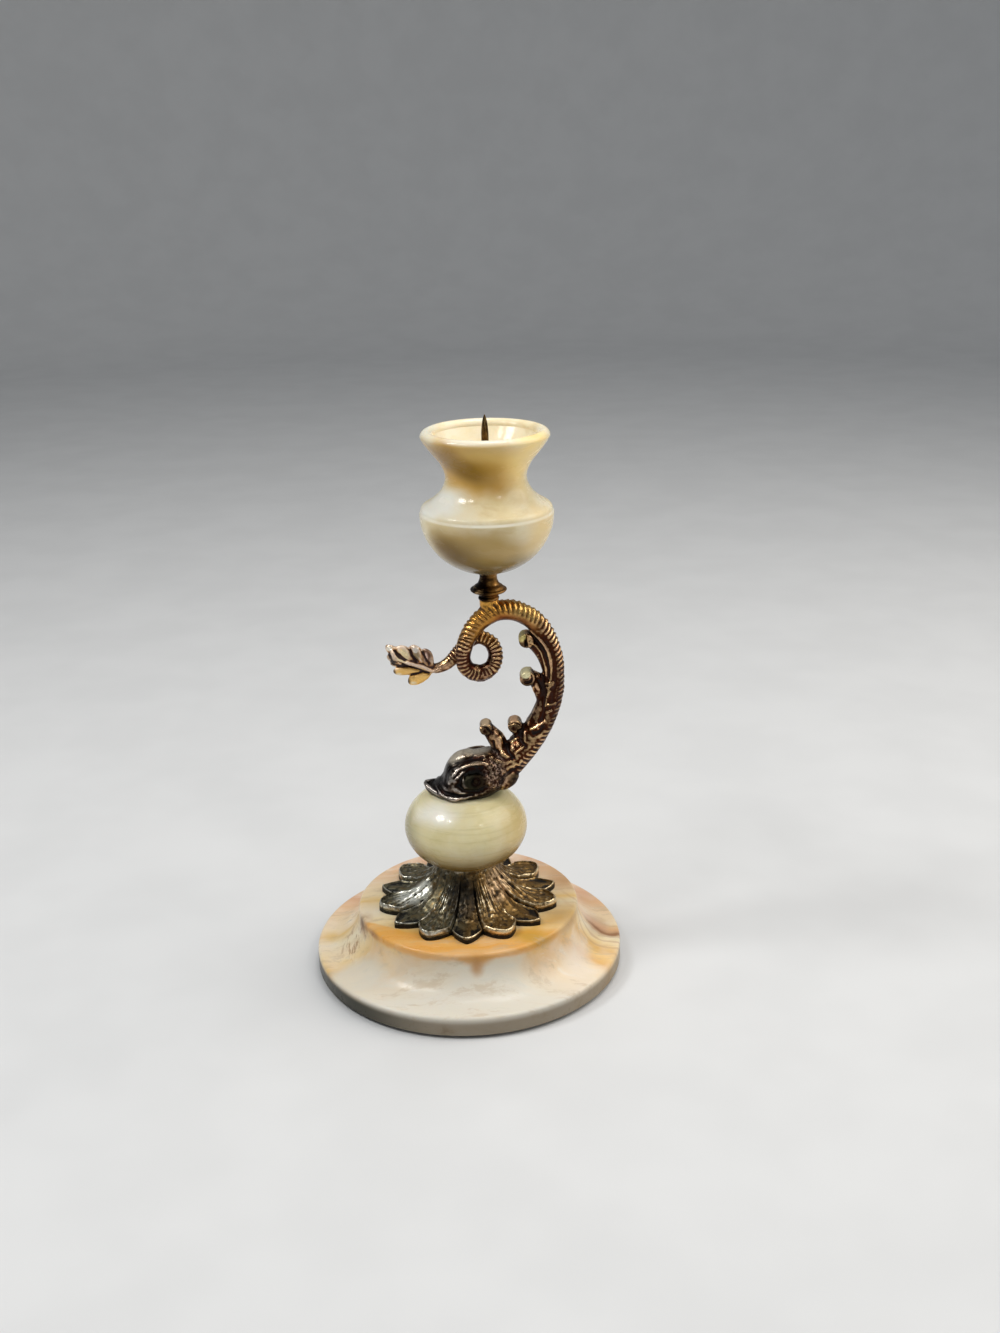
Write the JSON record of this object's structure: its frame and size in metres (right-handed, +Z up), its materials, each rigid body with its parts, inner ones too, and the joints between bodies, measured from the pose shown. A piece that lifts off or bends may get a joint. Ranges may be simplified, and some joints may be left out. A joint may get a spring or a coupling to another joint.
{
  "type": "pricket candlestick",
  "caption": "Pricket candlestick: turned onyx base, ball and candle cup, with a cast brass petal skirt and a looping dolphin stem.",
  "frame": {"origin": "centre of the round base, on the surface it stands on", "axes": "+Z up along the rods; the dolphin's snout and the leaf point to -X, and the front view looks along +Y"},
  "size_m": [0.11, 0.11, 0.1987],
  "materials": {
    "felt": "pressed wool felt, matt",
    "banded_onyx": "polished banded onyx, cream with ochre and brown veins",
    "pale_onyx": "polished pale green onyx, faint turning lines",
    "honey_onyx": "polished cream and honey onyx, translucent",
    "darkened_brass": "cast brass, blackened, bright where worn",
    "patinated_brass": "cast brass, brown patina in the hollows, rubbed gold on the ribs",
    "plain_brass": "dull brass hardware",
    "spike_bronze": "darkened rod, ground point",
    "plated_steel": "zinc plated, dull"
  },
  "bodies": {
    "root": {"felt_pad": "felt", "marble_base": "banded_onyx", "base_washer": "plated_steel", "base_nut": "plated_steel", "lower_rod": "plated_steel", "leaf_skirt": "darkened_brass", "onyx_ball": "pale_onyx", "dolphin_casting": "patinated_brass", "turned_collar": "patinated_brass", "onyx_cup": "honey_onyx", "cup_washer": "plain_brass", "cup_nut": "plain_brass", "pricket_spike": "spike_bronze"}
  },
  "joints": []
}
